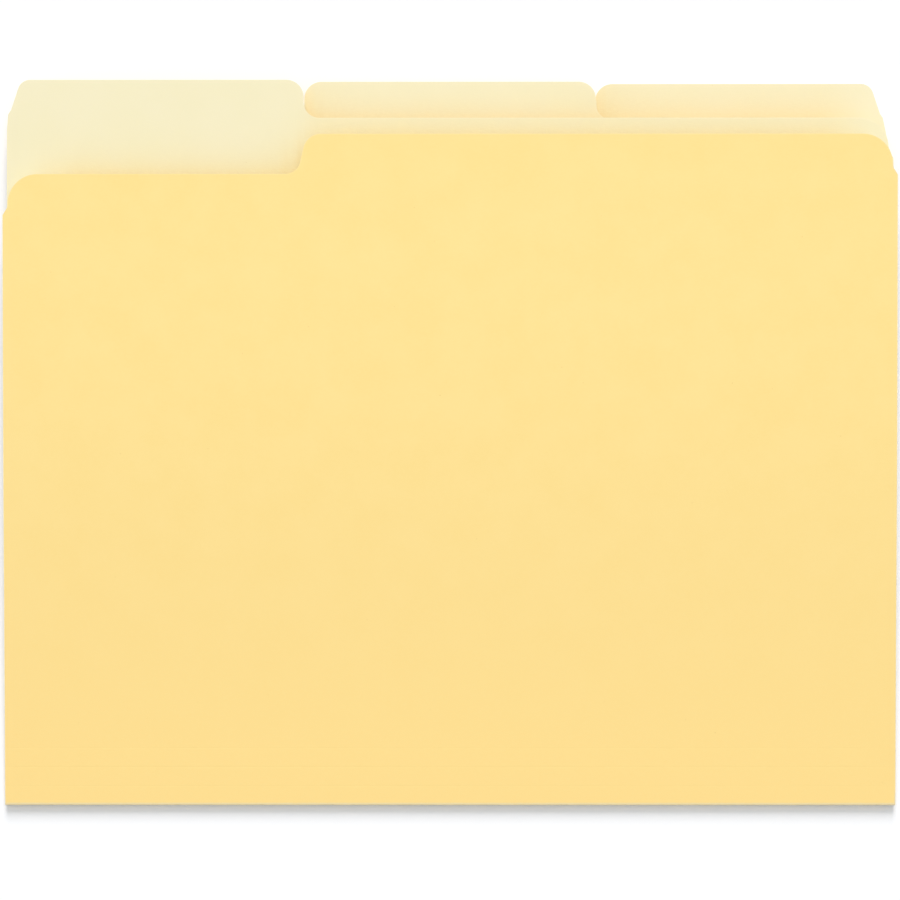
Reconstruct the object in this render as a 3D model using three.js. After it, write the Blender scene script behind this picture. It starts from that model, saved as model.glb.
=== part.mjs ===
// Three letter-size file folders in a pile, each a sheet of board folded once and scored three times.
// Millimetres. X runs along the width, Y from the fold towards the tabs, Z up from the table.
// The rear folder's back lies on Z = 0, and Y = 0 is halfway up its height.
import * as THREE from "three";

// The sheet.
const FOLDER_WIDTH = 295.3;
const BOARD_THICKNESS = 0.28;
const BACK_HEIGHT = 228.6;
const COVER_HEIGHT = 222.25;
const UNDERCUT_DEPTH = 13.2;

// Tabs: one on each back, at the left, centre or right third of the width.
const TAB_HEIGHT = 12.7;
const CENTRE_TAB_WIDTH = 97.6;
const TAB_TOP_RADIUS = 5.8;
const TAB_FOOT_RADIUS = 5.2;
const TAB_OUTER_RADIUS = 4.2;
const TAB_OUTER_LEAN = 3.3;
const TAB_JOG_WIDTH = 0.95;
const TAB_JOG_HEIGHT = 1.4;
const TAB_JOG_ABOVE_BACK = 1.2;
const TAB_JOG_RADIUS = 0.7;

// The shoulder under an outer tab leans in from the side. The right one leans more.
const LEFT_SHOULDER_INSET = 0.4;
const LEFT_SHOULDER_DROP = 4;
const RIGHT_SHOULDER_INSET = 2.2;
const RIGHT_SHOULDER_DROP = 10;

// The cut at each top corner stands a little inside the sheet's side.
const CORNER_RADIUS = 10;
const CORNER_INSET = 1.65;
const CORNER_DEPTH = 13.5;
const CORNER_JOG_HEIGHT = 2.6;
const CORNER_JOG_FOOT_RADIUS = 1;
const CORNER_JOG_TOP_RADIUS = 3;

// The step in the cover's top edge, at the end of the part that is cut lower over the tab.
// Its foot stands beside the line of the tab's side, or below zero inside that line.
const STEP_BESIDE_TAB = -1.5;
const STEP_LEAN = 3;
const STEP_TOP_RADIUS = 6;
const STEP_FOOT_RADIUS = 4.9;

// The main crease and the three scores beside it.
const CREASE_INNER_RADIUS = 0.2;
const SCORE_COUNT = 3;
const SCORE_SPACING = 6.35;

// Space between sheets that lie on each other, and between panels that meet at a fold.
const SHEET_GAP = 0.3;
const PANEL_GAP = 0.3;

// How far each folder gapes, in degrees.
const REAR_GAPE = 0.9;
const MIDDLE_GAPE = 0.85;
const FRONT_GAPE = 2.5;

// Curves are drawn as short sides that turn by this angle, in radians.
const CURVE_STEP = Math.PI / 30;
const CREASE_SEGMENTS = 12;
// How much of a side its two rounded corners may take up together.
const SIDE_SHARE = 0.98;

const OUTSIDE_COLOUR = "#fde29a";
const INSIDE_COLOUR = "#f7eec8";
const BOARD_ROUGHNESS = 0.86;

// Worked out from the sizes above.
const CREASE_OUTER_RADIUS = CREASE_INNER_RADIUS + BOARD_THICKNESS;
const FOLDER_PITCH = 2 * CREASE_OUTER_RADIUS + SHEET_GAP;
const TAB_LEFT_EDGE = (FOLDER_WIDTH - CENTRE_TAB_WIDTH) / 2;
const TAB_RIGHT_EDGE = (FOLDER_WIDTH + CENTRE_TAB_WIDTH) / 2;
const COVER_START = SCORE_COUNT * SCORE_SPACING + PANEL_GAP / 2;

const FOLDERS = [
  { name: "rear_folder", tab: "right", gape: REAR_GAPE },
  { name: "middle_folder", tab: "centre", gape: MIDDLE_GAPE },
  { name: "front_folder", tab: "left", gape: FRONT_GAPE },
];

function outsideBoard() {
  const material = new THREE.MeshStandardMaterial({
    color: OUTSIDE_COLOUR,
    roughness: BOARD_ROUGHNESS,
    metalness: 0,
  });
  material.name = "outside_board";
  return material;
}

function insideBoard() {
  const material = new THREE.MeshStandardMaterial({
    color: INSIDE_COLOUR,
    roughness: BOARD_ROUGHNESS,
    metalness: 0,
  });
  material.name = "inside_board";
  return material;
}

// Half the angle inside the outline at a corner, and how far from it a curve of its radius begins.
function cornerShape(corners, index) {
  const here = new THREE.Vector2(corners[index].x, corners[index].y);
  const before = corners[(index + corners.length - 1) % corners.length];
  const after = corners[(index + 1) % corners.length];
  const back = new THREE.Vector2(before.x, before.y).sub(here);
  const ahead = new THREE.Vector2(after.x, after.y).sub(here);
  const lengthBack = back.length();
  const lengthAhead = ahead.length();
  const cosine = back.dot(ahead) / (lengthBack * lengthAhead);
  const halfAngle = Math.acos(THREE.MathUtils.clamp(cosine, -1, 1)) / 2;
  const wantedCut = (corners[index].radius ?? 0) / Math.tan(halfAngle);
  return { here, back, ahead, lengthBack, lengthAhead, halfAngle, wantedCut };
}

// The points along the curve that rounds a corner, from the side behind it to the side ahead.
function curvePoints(corner, cut) {
  const radius = cut * Math.tan(corner.halfAngle);
  const back = corner.back.clone().normalize();
  const ahead = corner.ahead.clone().normalize();
  const start = corner.here.clone().addScaledVector(back, cut);
  const towardsCentre = back.clone().add(ahead).normalize();
  const reach = radius / Math.sin(corner.halfAngle);
  const centre = corner.here.clone().addScaledVector(towardsCentre, reach);
  const turn = (Math.PI - 2 * corner.halfAngle) * -Math.sign(back.cross(ahead));
  const steps = Math.ceil(Math.abs(turn) / CURVE_STEP);
  return Array.from({ length: steps + 1 }, (_, step) =>
    start.clone().rotateAround(centre, (turn * step) / steps),
  );
}

// A closed outline through the given corners, each rounded with its radius. Corners run anticlockwise.
// Two curves that don't fit on the side between them share it in proportion.
function roundedOutline(corners) {
  const shapes = corners.map((corner, index) => cornerShape(corners, index));
  const points = shapes.flatMap((corner, index) => {
    const before = shapes[(index + shapes.length - 1) % shapes.length];
    const after = shapes[(index + 1) % shapes.length];
    const shareBack = corner.lengthBack / (corner.wantedCut + before.wantedCut);
    const shareAhead = corner.lengthAhead / (corner.wantedCut + after.wantedCut);
    const cut = corner.wantedCut * Math.min(1, SIDE_SHARE * shareBack, SIDE_SHARE * shareAhead);
    return cut > 0 ? curvePoints(corner, cut) : [corner.here];
  });
  return new THREE.Shape(points);
}

// The same corners seen in a mirror that stands at the folder's middle, still anticlockwise.
function mirrored(corners) {
  return corners.map((corner) => ({ ...corner, x: FOLDER_WIDTH - corner.x })).reverse();
}

// The cut at the top right corner of a back or cover whose top edge is at the given height.
function rightCornerCut(top) {
  const inset = FOLDER_WIDTH - CORNER_INSET;
  return [
    { x: FOLDER_WIDTH, y: top - CORNER_DEPTH, radius: CORNER_JOG_FOOT_RADIUS },
    { x: inset, y: top - CORNER_DEPTH + CORNER_JOG_HEIGHT, radius: CORNER_JOG_TOP_RADIUS },
    { x: inset, y: top, radius: CORNER_RADIUS },
  ];
}

function leftCornerCut(top) {
  return mirrored(rightCornerCut(top));
}

// The outer side of a tab at the right end of the back, from the shoulder to the tab's top.
function rightTabSide(shoulderInset, shoulderDrop) {
  const jogFoot = BACK_HEIGHT + TAB_JOG_ABOVE_BACK;
  const shoulder = FOLDER_WIDTH - shoulderInset;
  const jog = shoulder - TAB_JOG_WIDTH;
  return [
    { x: FOLDER_WIDTH, y: BACK_HEIGHT - shoulderDrop },
    { x: shoulder, y: jogFoot, radius: TAB_JOG_RADIUS },
    { x: jog, y: jogFoot + TAB_JOG_HEIGHT, radius: TAB_JOG_RADIUS },
    { x: jog - TAB_OUTER_LEAN, y: BACK_HEIGHT + TAB_HEIGHT, radius: TAB_OUTER_RADIUS },
  ];
}

// The side of a tab that stands on the back's top edge with the tab to its left.
function rightTabEnd(x) {
  return [
    { x, y: BACK_HEIGHT, radius: TAB_FOOT_RADIUS },
    { x, y: BACK_HEIGHT + TAB_HEIGHT, radius: TAB_TOP_RADIUS },
  ];
}

function leftTabEnd(x) {
  return mirrored(rightTabEnd(FOLDER_WIDTH - x));
}

function backOutline(tab) {
  const foot = CREASE_OUTER_RADIUS + PANEL_GAP;
  const tops = {
    left: [
      ...rightCornerCut(BACK_HEIGHT),
      ...rightTabEnd(TAB_LEFT_EDGE),
      ...mirrored(rightTabSide(LEFT_SHOULDER_INSET, LEFT_SHOULDER_DROP)),
    ],
    centre: [
      ...rightCornerCut(BACK_HEIGHT),
      ...rightTabEnd(TAB_RIGHT_EDGE),
      ...leftTabEnd(TAB_LEFT_EDGE),
      ...leftCornerCut(BACK_HEIGHT),
    ],
    right: [
      ...rightTabSide(RIGHT_SHOULDER_INSET, RIGHT_SHOULDER_DROP),
      ...leftTabEnd(TAB_RIGHT_EDGE),
      ...leftCornerCut(BACK_HEIGHT),
    ],
  };
  return roundedOutline([{ x: 0, y: foot }, { x: FOLDER_WIDTH, y: foot }, ...tops[tab]]);
}

// The step down from the cover's full height, on the left, to the undercut on its right.
function stepDown(x) {
  return [
    { x, y: COVER_HEIGHT - UNDERCUT_DEPTH, radius: STEP_FOOT_RADIUS },
    { x: x - STEP_LEAN, y: COVER_HEIGHT, radius: STEP_TOP_RADIUS },
  ];
}

function stepUp(x) {
  return mirrored(stepDown(FOLDER_WIDTH - x));
}

function coverOutline(tab) {
  const undercutTop = COVER_HEIGHT - UNDERCUT_DEPTH;
  const undercutStart = TAB_LEFT_EDGE - STEP_BESIDE_TAB;
  const undercutEnd = TAB_RIGHT_EDGE + STEP_BESIDE_TAB;
  const tops = {
    left: [
      ...rightCornerCut(COVER_HEIGHT),
      ...stepUp(TAB_LEFT_EDGE + STEP_BESIDE_TAB),
      ...leftCornerCut(undercutTop),
    ],
    centre: [
      ...rightCornerCut(COVER_HEIGHT),
      ...stepUp(undercutEnd),
      ...stepDown(undercutStart),
      ...leftCornerCut(COVER_HEIGHT),
    ],
    right: [
      ...rightCornerCut(undercutTop),
      ...stepDown(TAB_RIGHT_EDGE - STEP_BESIDE_TAB),
      ...leftCornerCut(COVER_HEIGHT),
    ],
  };
  return roundedOutline([{ x: 0, y: COVER_START }, { x: FOLDER_WIDTH, y: COVER_START }, ...tops[tab]]);
}

// Strips are counted from the main crease.
function stripOutline(number) {
  const nearCrease = CREASE_OUTER_RADIUS + PANEL_GAP;
  const start = number === 1 ? nearCrease : (number - 1) * SCORE_SPACING + PANEL_GAP / 2;
  const end = number * SCORE_SPACING - PANEL_GAP / 2;
  return roundedOutline([
    { x: 0, y: start },
    { x: FOLDER_WIDTH, y: start },
    { x: FOLDER_WIDTH, y: end },
    { x: 0, y: end },
  ]);
}

// A flat panel. Its heights are counted from the fold, and its lower face is at the given level
// above the crease's centre line, which becomes the X axis.
function panelGeometry(outline, level) {
  const geometry = new THREE.ExtrudeGeometry(outline, {
    depth: BOARD_THICKNESS,
    bevelEnabled: false,
  });
  geometry.translate(-FOLDER_WIDTH / 2, -CREASE_OUTER_RADIUS, level);
  return geometry;
}

// The half-round bend from the back's level up to a cover that gapes by the given angle.
function creaseGeometry(gape) {
  const coverEnd = Math.PI / 2 + gape;
  const backEnd = 1.5 * Math.PI;
  const section = new THREE.Shape();
  section.absarc(0, 0, CREASE_OUTER_RADIUS, coverEnd, backEnd, false);
  section.absarc(0, 0, CREASE_INNER_RADIUS, backEnd, coverEnd, true);
  section.closePath();
  const geometry = new THREE.ExtrudeGeometry(section, {
    depth: FOLDER_WIDTH,
    bevelEnabled: false,
    curveSegments: CREASE_SEGMENTS,
  });
  const widthAlongX = new THREE.Matrix4().makeBasis(
    new THREE.Vector3(0, 1, 0),
    new THREE.Vector3(0, 0, 1),
    new THREE.Vector3(1, 0, 0),
  );
  geometry.applyMatrix4(widthAlongX);
  geometry.translate(-FOLDER_WIDTH / 2, 0, 0);
  return geometry;
}

// Turns a shape that was built about the crease's centre line and puts it at that line's place.
function placed(geometry, turn, crease) {
  geometry.rotateX(turn);
  geometry.translate(0, crease.y, crease.z);
  return geometry;
}

// One folder: its back lies at the angle tilt and its cover rises from it by the angle gape.
function folderPieces(folder, crease, tilt) {
  const gape = THREE.MathUtils.degToRad(folder.gape);
  const outside = outsideBoard();
  const inside = insideBoard();
  const pieces = [];

  function add(part, geometry, turn, material) {
    const mesh = new THREE.Mesh(placed(geometry, turn, crease), material);
    mesh.name = `${folder.name}_${part}`;
    pieces.push(mesh);
  }

  add("back", panelGeometry(backOutline(folder.tab), -CREASE_OUTER_RADIUS), tilt, inside);
  add("crease", creaseGeometry(gape), tilt, outside);
  for (let number = 1; number <= SCORE_COUNT; number += 1) {
    const strip = panelGeometry(stripOutline(number), CREASE_INNER_RADIUS);
    add(`strip_${number}`, strip, tilt + gape, outside);
  }
  add("cover", panelGeometry(coverOutline(folder.tab), CREASE_INNER_RADIUS), tilt + gape, outside);
  return pieces;
}

function buildPile() {
  const pile = new THREE.Group();
  pile.name = "file_folder_set";
  const firstFold = CREASE_OUTER_RADIUS - BACK_HEIGHT / 2;
  let crease = new THREE.Vector3(0, firstFold, CREASE_OUTER_RADIUS);
  let tilt = 0;
  for (const folder of FOLDERS) {
    pile.add(...folderPieces(folder, crease, tilt));
    tilt += THREE.MathUtils.degToRad(folder.gape);
    const towardsNext = new THREE.Vector3(0, -Math.sin(tilt), Math.cos(tilt));
    crease = crease.clone().addScaledVector(towardsNext, FOLDER_PITCH);
  }
  return pile;
}

export default buildPile();
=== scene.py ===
"""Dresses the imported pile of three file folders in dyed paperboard, and lights it like the photograph.

Sizes in the classes are in millimetres. Meshes are built in metres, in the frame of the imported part:
X runs along the width, Y from the fold towards the tabs, and Z up from the table.
"""
import logging
import math
from collections.abc import Sequence
from dataclasses import dataclass, field
from enum import Enum

import bmesh
import bpy
from mathutils import Matrix, Vector


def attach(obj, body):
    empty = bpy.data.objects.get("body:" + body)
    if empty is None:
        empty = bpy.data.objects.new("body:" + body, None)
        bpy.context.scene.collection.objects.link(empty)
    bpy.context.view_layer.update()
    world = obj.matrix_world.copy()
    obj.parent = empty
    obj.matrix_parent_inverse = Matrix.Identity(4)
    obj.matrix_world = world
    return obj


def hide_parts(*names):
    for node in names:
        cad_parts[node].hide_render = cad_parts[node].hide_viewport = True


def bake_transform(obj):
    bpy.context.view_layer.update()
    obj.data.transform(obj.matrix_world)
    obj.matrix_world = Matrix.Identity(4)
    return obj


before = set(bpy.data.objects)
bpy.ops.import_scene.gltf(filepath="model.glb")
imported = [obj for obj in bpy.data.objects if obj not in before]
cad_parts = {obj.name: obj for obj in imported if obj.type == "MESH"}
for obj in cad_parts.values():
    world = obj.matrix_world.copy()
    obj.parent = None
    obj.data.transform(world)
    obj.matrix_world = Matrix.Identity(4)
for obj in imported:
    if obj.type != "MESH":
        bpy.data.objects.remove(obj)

LOG = logging.getLogger("file_folders")
METRES = 0.001
WHITE = (1.0, 1.0, 1.0, 1.0)
# Places of the sheet that are closer than the first are the same place, and a cut takes in points
# that are closer to it than the second.
SAME_PLACE, ON_THE_CUT = 1e-4, 1e-5
QUARTER_TURN = 90.0
# Angles round the fold's centre line at which the bend joins the back, is half way, and joins the cover.
BEND_AT_BACK, BEND_HALF_WAY, BEND_AT_COVER = 270.0, 180.0, 90.0

# Names of the mesh layers that the finishes read.
SHEET_MAP = "sheet_millimetres"
# Rubbed wear beside cut edges, and along the fold partly a painted highlight.
RUB_AND_HIGHLIGHT = "rubbed_and_highlight"
# Painted shade: beside and under the edge of the sheet above, and on covers towards the fold.
PAINTED_SHADE_LAYER = "painted_shade"

# The mix node's sockets are taken by place, because their names repeat for each kind of data.
MIX_SHARE = 0
FIRST_NUMBER, SECOND_NUMBER = 2, 3
FIRST_COLOUR, SECOND_COLOUR, MIXED_COLOUR = 6, 7, 2

Point = tuple[float, float]
Span = tuple[float, float]
Place = tuple[float, float, float]
Colour = tuple[float, float, float, float]
Node = bpy.types.Node
Material = bpy.types.Material
Source = bpy.types.Node | bpy.types.NodeSocket
Tree = bpy.types.NodeTree


class TabPlace(Enum):
    """The third of the folder's width that carries its tab."""

    LEFT = "left"
    CENTRE = "centre"
    RIGHT = "right"


class Side(Enum):
    """The two sides of the fold, by the sign of their places on the unfolded sheet."""

    BACK = -1
    COVER = 1


class Face(Enum):
    """The faces of a piece of board, as its material slots."""

    OUTSIDE = 0
    INSIDE = 1
    CUT_EDGE = 2


# Corners and finish of each face of a mesh.
BoardFaces = list[tuple[list[int], Face]]


# Finishes


def linear_colour(hex_colour: str) -> Colour:
    """Turns an sRGB hex colour into the linear colour that shaders take.

    Args:
        hex_colour: Six hex digits, such as "fadd96".

    Returns:
        Red, green, blue and an alpha of 1.
    """
    values = [int(hex_colour[start:start + 2], 16) / 255 for start in (0, 2, 4)]
    red, green, blue = (v / 12.92 if v <= 0.04045 else ((v + 0.055) / 1.055) ** 2.4 for v in values)
    return red, green, blue, 1.0


def cleared_tree(owner: Material | bpy.types.World) -> Tree:
    """Gives a material or a world an empty node tree.

    Args:
        owner: The material or the world.

    Returns:
        Its node tree.
    """
    owner.use_nodes = True
    owner.node_tree.nodes.clear()
    return owner.node_tree


def add_node(
    tree: Tree,
    kind: str,
    settings: dict[str, object] | None = None,
    values: dict[str | int, object] | None = None,
    links: dict[str | int, Source] | None = None,
) -> Node:
    """Adds a node, sets it and links its inputs.

    Args:
        tree: The node tree that takes the node.
        kind: Name of the node's class, without ShaderNode at its start.
        settings: Properties of the node itself.
        values: Values of unlinked inputs, by name or place.
        links: What feeds inputs, by the input's name or place. A node feeds by its first output.

    Returns:
        The new node.
    """
    node = tree.nodes.new(f"ShaderNode{kind}")
    for name, setting in (settings or {}).items():
        setattr(node, name, setting)
    for name, value in (values or {}).items():
        node.inputs[name].default_value = value
    for name, source in (links or {}).items():
        socket = source.outputs[0] if isinstance(source, Node) else source
        tree.links.new(socket, node.inputs[name])
    return node


@dataclass(frozen=True)
class DyedBoard:
    """Paperboard dyed in the pulp and calendered between steel rolls.

    The rolls give the eye a flat, quiet face with a soft broad sheen. Close up it shows cloudy
    formation, fibres that lie mostly along the width, and now and then a darker fleck of bark.
    Beside and under the edge of the next sheet, painted shade makes the face darker and warmer,
    deepest in concave corners, and painted shade makes a cover darker and warmer towards the fold.
    Cut edges are rubbed pale, and the fold is painted pale: partly rubbed board, partly a painted
    highlight.

    Colours are sRGB hex, sizes millimetres, and the roughness is given for the smoothest and the
    coarsest spots.
    """

    name: str
    colour: str
    cloud_colour: str
    fibre_colour: str
    fleck_colour: str
    # Colour of rubbed wear, and along the fold of a painted highlight.
    rubbed_and_highlight_colour: str
    # Colour of the painted shade.
    painted_shade_colour: str
    smoothest: float = 0.44
    coarsest: float = 0.56
    ior: float = 1.47
    specular: float = 0.5
    cloud_size: float = 16.0
    # Real fibres are 0.03 mm wide, finer than the render can show, so they are drawn coarser.
    fibre_width: float = 0.42
    fibre_length: float = 1.9
    # Angle from the width in degrees, and share of the full length, of the two layers of fibres.
    fibre_layers: tuple[Point, Point] = ((6.0, 1.0), (68.0, 0.6))
    crossing_share: float = 0.38
    fibre_tint: float = 0.35
    tooth_height: float = 0.0045
    fleck_size: float = 0.3
    fleck_spacing: float = 7.0
    fleck_strength: float = 0.4
    # Shares of a fleck's radius up to which it is solid, and at which it ends.
    fleck_fade: Span = (0.6, 1.6)
    # Levels of a pattern at which its effect begins and is full.
    cloud_levels: Span = (0.35, 0.65)
    tint_levels: Span = (0.4, 0.75)
    gloss_levels: Span = (0.3, 0.7)

    def make(self) -> Material:
        """Builds the material.

        Returns:
            A material that is mapped in millimetres on the unfolded sheet.
        """
        material = bpy.data.materials.new(self.name)
        tree = cleared_tree(material)
        sheet = add_node(tree, "UVMap", {"uv_map": SHEET_MAP})
        fibres = self._fibres(tree, sheet)
        start, end = self.gloss_levels
        levels = {"From Min": start, "From Max": end, "To Min": self.smoothest, "To Max": self.coarsest}
        gloss = add_node(tree, "MapRange", values=levels, links={"Value": fibres})
        height = {"Distance": self.tooth_height * METRES}
        tooth = add_node(tree, "Bump", values=height, links={"Height": fibres})
        board = add_node(
            tree,
            "BsdfPrincipled",
            values={"IOR": self.ior, "Specular IOR Level": self.specular},
            links={"Base Color": self._colour(tree, sheet, fibres), "Roughness": gloss, "Normal": tooth},
        )
        add_node(tree, "OutputMaterial", links={"Surface": board})
        return material

    def _fibres(self, tree: Tree, sheet: Node) -> Node:
        """Draws the fibre mat: most fibres run along the width, and fewer cross them.

        Args:
            tree: The material's node tree.
            sheet: Place on the unfolded sheet, in millimetres.

        Returns:
            The mat's height, from 0 to 1.
        """
        layers = []
        for angle, length_share in self.fibre_layers:
            lie = {
                "Rotation": (0.0, 0.0, math.radians(angle)),
                "Scale": (self.fibre_length * length_share, self.fibre_width, 1.0),
            }
            turned = add_node(tree, "Mapping", {"vector_type": "TEXTURE"}, lie, {"Vector": sheet})
            grain = {"Scale": 1.0, "Detail": 2.0, "Roughness": 0.5, "Distortion": 0.3}
            layers.append(add_node(tree, "TexNoise", values=grain, links={"Vector": turned}))
        links = {FIRST_NUMBER: layers[0], SECOND_NUMBER: layers[1]}
        return add_node(tree, "Mix", {"data_type": "FLOAT"}, {MIX_SHARE: self.crossing_share}, links)

    def _flecks(self, tree: Tree, sheet: Node) -> Node:
        """Scatters small flecks of bark.

        Args:
            tree: The material's node tree.
            sheet: Place on the unfolded sheet, in millimetres.

        Returns:
            How strongly a fleck covers each place.
        """
        spread = {"Scale": 1 / self.fleck_spacing}
        cells = add_node(tree, "TexVoronoi", values=spread, links={"Vector": sheet})
        radius = self.fleck_size / self.fleck_spacing / 2
        start, end = (share * radius for share in self.fleck_fade)
        levels = {"From Min": start, "From Max": end, "To Min": self.fleck_strength, "To Max": 0.0}
        spot = add_node(tree, "MapRange", {"interpolation_type": "SMOOTHSTEP"}, levels, {"Value": cells})
        chance = add_node(tree, "SeparateColor", links={"Color": cells.outputs["Color"]})
        return add_node(tree, "Math", {"operation": "MULTIPLY"}, links={0: spot, 1: chance})

    def _colour(self, tree: Tree, sheet: Node, fibres: Node) -> Source:
        """Lays the board's colours over each other.

        Args:
            tree: The material's node tree.
            sheet: Place on the unfolded sheet, in millimetres.
            fibres: Height of the fibre mat, from 0 to 1.

        Returns:
            The finished colour.
        """
        grain = {"Scale": 1 / self.cloud_size, "Detail": 3.0, "Roughness": 0.55}
        clouds = add_node(tree, "TexNoise", values=grain, links={"Vector": sheet})
        shares = []
        for pattern, (start, end), most in (
            (clouds, self.cloud_levels, 1.0),
            (fibres, self.tint_levels, self.fibre_tint),
        ):
            levels = {"From Min": start, "From Max": end, "To Max": most}
            shares.append(add_node(tree, "MapRange", values=levels, links={"Value": pattern}))
        # Painted shade, and rubbed wear with a painted highlight along the fold, come from the mesh layers.
        painted_shade_share, rubbed_and_highlight = (
            add_node(tree, "Attribute", {"attribute_name": layer}).outputs["Fac"] for layer in (PAINTED_SHADE_LAYER, RUB_AND_HIGHLIGHT)
        )
        broken_rub_and_highlight = add_node(tree, "Math", {"operation": "MULTIPLY"}, links={0: rubbed_and_highlight, 1: fibres})
        # Each colour lies over the ones before it, and the first over the board's own colour.
        under: dict[int, Source] = {}
        for share, hex_colour in (
            (shares[0], self.cloud_colour),
            (painted_shade_share, self.painted_shade_colour),
            (shares[1], self.fibre_colour),
            (self._flecks(tree, sheet), self.fleck_colour),
            (broken_rub_and_highlight, self.rubbed_and_highlight_colour),
        ):
            colours = {FIRST_COLOUR: linear_colour(self.colour), SECOND_COLOUR: linear_colour(hex_colour)}
            layer = add_node(tree, "Mix", {"data_type": "RGBA"}, colours, {MIX_SHARE: share, **under})
            under = {FIRST_COLOUR: layer.outputs[MIXED_COLOUR]}
        return under[FIRST_COLOUR]


@dataclass(frozen=True)
class DieCutEdge:
    """The board's raw edge, as the steel rule left it.

    The rule shears the fibres, so the eye sees a matt, slightly paler line with torn spots.
    """

    name: str = "manila_board_die_cut_edge"
    colour: str = "f6dfa2"
    torn_colour: str = "e9c987"
    layer_height: float = 0.09
    tear_length: float = 1.1
    tear_depth: float = 0.02
    roughness: float = 0.92
    ior: float = 1.47
    specular: float = 0.3

    def make(self) -> Material:
        """Builds the material.

        Returns:
            A material with short layers along the edge.
        """
        material = bpy.data.materials.new(self.name)
        tree = cleared_tree(material)
        place = add_node(tree, "TexCoord").outputs["Object"]
        sizes = [size * METRES for size in (self.tear_length, self.tear_length, self.layer_height)]
        layers = add_node(tree, "Mapping", {"vector_type": "TEXTURE"}, {"Scale": sizes}, {"Vector": place})
        grain = {"Scale": 1.0, "Detail": 3.0, "Roughness": 0.6}
        torn = add_node(tree, "TexNoise", values=grain, links={"Vector": layers})
        colours = {FIRST_COLOUR: linear_colour(self.torn_colour), SECOND_COLOUR: linear_colour(self.colour)}
        colour = add_node(tree, "Mix", {"data_type": "RGBA"}, colours, {MIX_SHARE: torn})
        height = {"Distance": self.tear_depth * METRES}
        raised = add_node(tree, "Bump", values=height, links={"Height": torn})
        board = add_node(
            tree,
            "BsdfPrincipled",
            values={"IOR": self.ior, "Roughness": self.roughness, "Specular IOR Level": self.specular},
            links={"Base Color": colour.outputs[MIXED_COLOUR], "Normal": raised},
        )
        add_node(tree, "OutputMaterial", links={"Surface": board})
        return material


@dataclass(frozen=True)
class Finishes:
    """The three finishes that a folder's faces take, in the order of Face."""

    outside: DyedBoard = DyedBoard(
        name="manila_board_calendered_outside",
        colour="fbde8f",
        cloud_colour="fadc8b",
        fibre_colour="fce196",
        fleck_colour="cf9f55",
        # Rubbed wear, and along the fold a painted highlight.
        rubbed_and_highlight_colour="fce8b8",
        # Painted shade.
        painted_shade_colour="ffdd8c",
    )
    inside: DyedBoard = DyedBoard(
        name="manila_board_pale_inside",
        colour="ede5c1",
        cloud_colour="ece4be",
        fibre_colour="efe6bb",
        fleck_colour="c9ae78",
        # Rubbed wear, and along the fold a painted highlight.
        rubbed_and_highlight_colour="f3ecce",
        # Painted shade.
        painted_shade_colour="e1c479",
        smoothest=0.5,
        coarsest=0.62,
    )
    cut_edge: DieCutEdge = DieCutEdge()

    def make(self) -> list[Material]:
        """Builds the materials in the order of Face."""
        return [self.outside.make(), self.inside.make(), self.cut_edge.make()]


# The die-cut sheet


@dataclass(frozen=True)
class Corner:
    """A corner of an outline and the radius that rounds it."""

    x: float
    y: float
    radius: float = 0.0


def rounded_outline(
    corners: Sequence[Corner], turn_step: float = math.pi / 30, side_share: float = 0.98
) -> list[Point]:
    """Draws a closed outline with rounded corners.

    Args:
        corners: The corners, anticlockwise.
        turn_step: Largest turn from one point of a curve to the next, in radians.
        side_share: Share of a side that the curves at its two ends may take together.

    Returns:
        The outline's points, anticlockwise.
    """
    count = len(corners)
    spots = [Vector((corner.x, corner.y)) for corner in corners]
    backs = [spots[index - 1] - here for index, here in enumerate(spots)]
    aheads = [spots[index + 1 - count] - here for index, here in enumerate(spots)]
    half_angles = [back.angle(ahead) / 2 for back, ahead in zip(backs, aheads)]
    # How far from each corner its curve would begin, if the sides were long enough.
    cuts = [corner.radius / math.tan(half) for corner, half in zip(corners, half_angles)]
    points: list[Point] = []
    for index, (here, back, ahead, half, cut) in enumerate(zip(spots, backs, aheads, half_angles, cuts)):
        if cut <= 0:
            points.append((here.x, here.y))
            continue
        share_back = side_share * back.length / (cut + cuts[index - 1])
        share_ahead = side_share * ahead.length / (cut + cuts[index + 1 - count])
        cut *= min(1.0, share_back, share_ahead)
        to_back, to_ahead = back.normalized(), ahead.normalized()
        centre = here + (to_back + to_ahead).normalized() * (cut * math.tan(half) / math.sin(half))
        arm = here + to_back * cut - centre
        turn = math.copysign(math.pi - 2 * half, -to_back.cross(to_ahead))
        steps = max(1, math.ceil(abs(turn) / turn_step))
        for step in range(steps + 1):
            spoke = Matrix.Rotation(turn * step / steps, 2) @ arm
            points.append((centre.x + spoke.x, centre.y + spoke.y))
    return points


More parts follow.
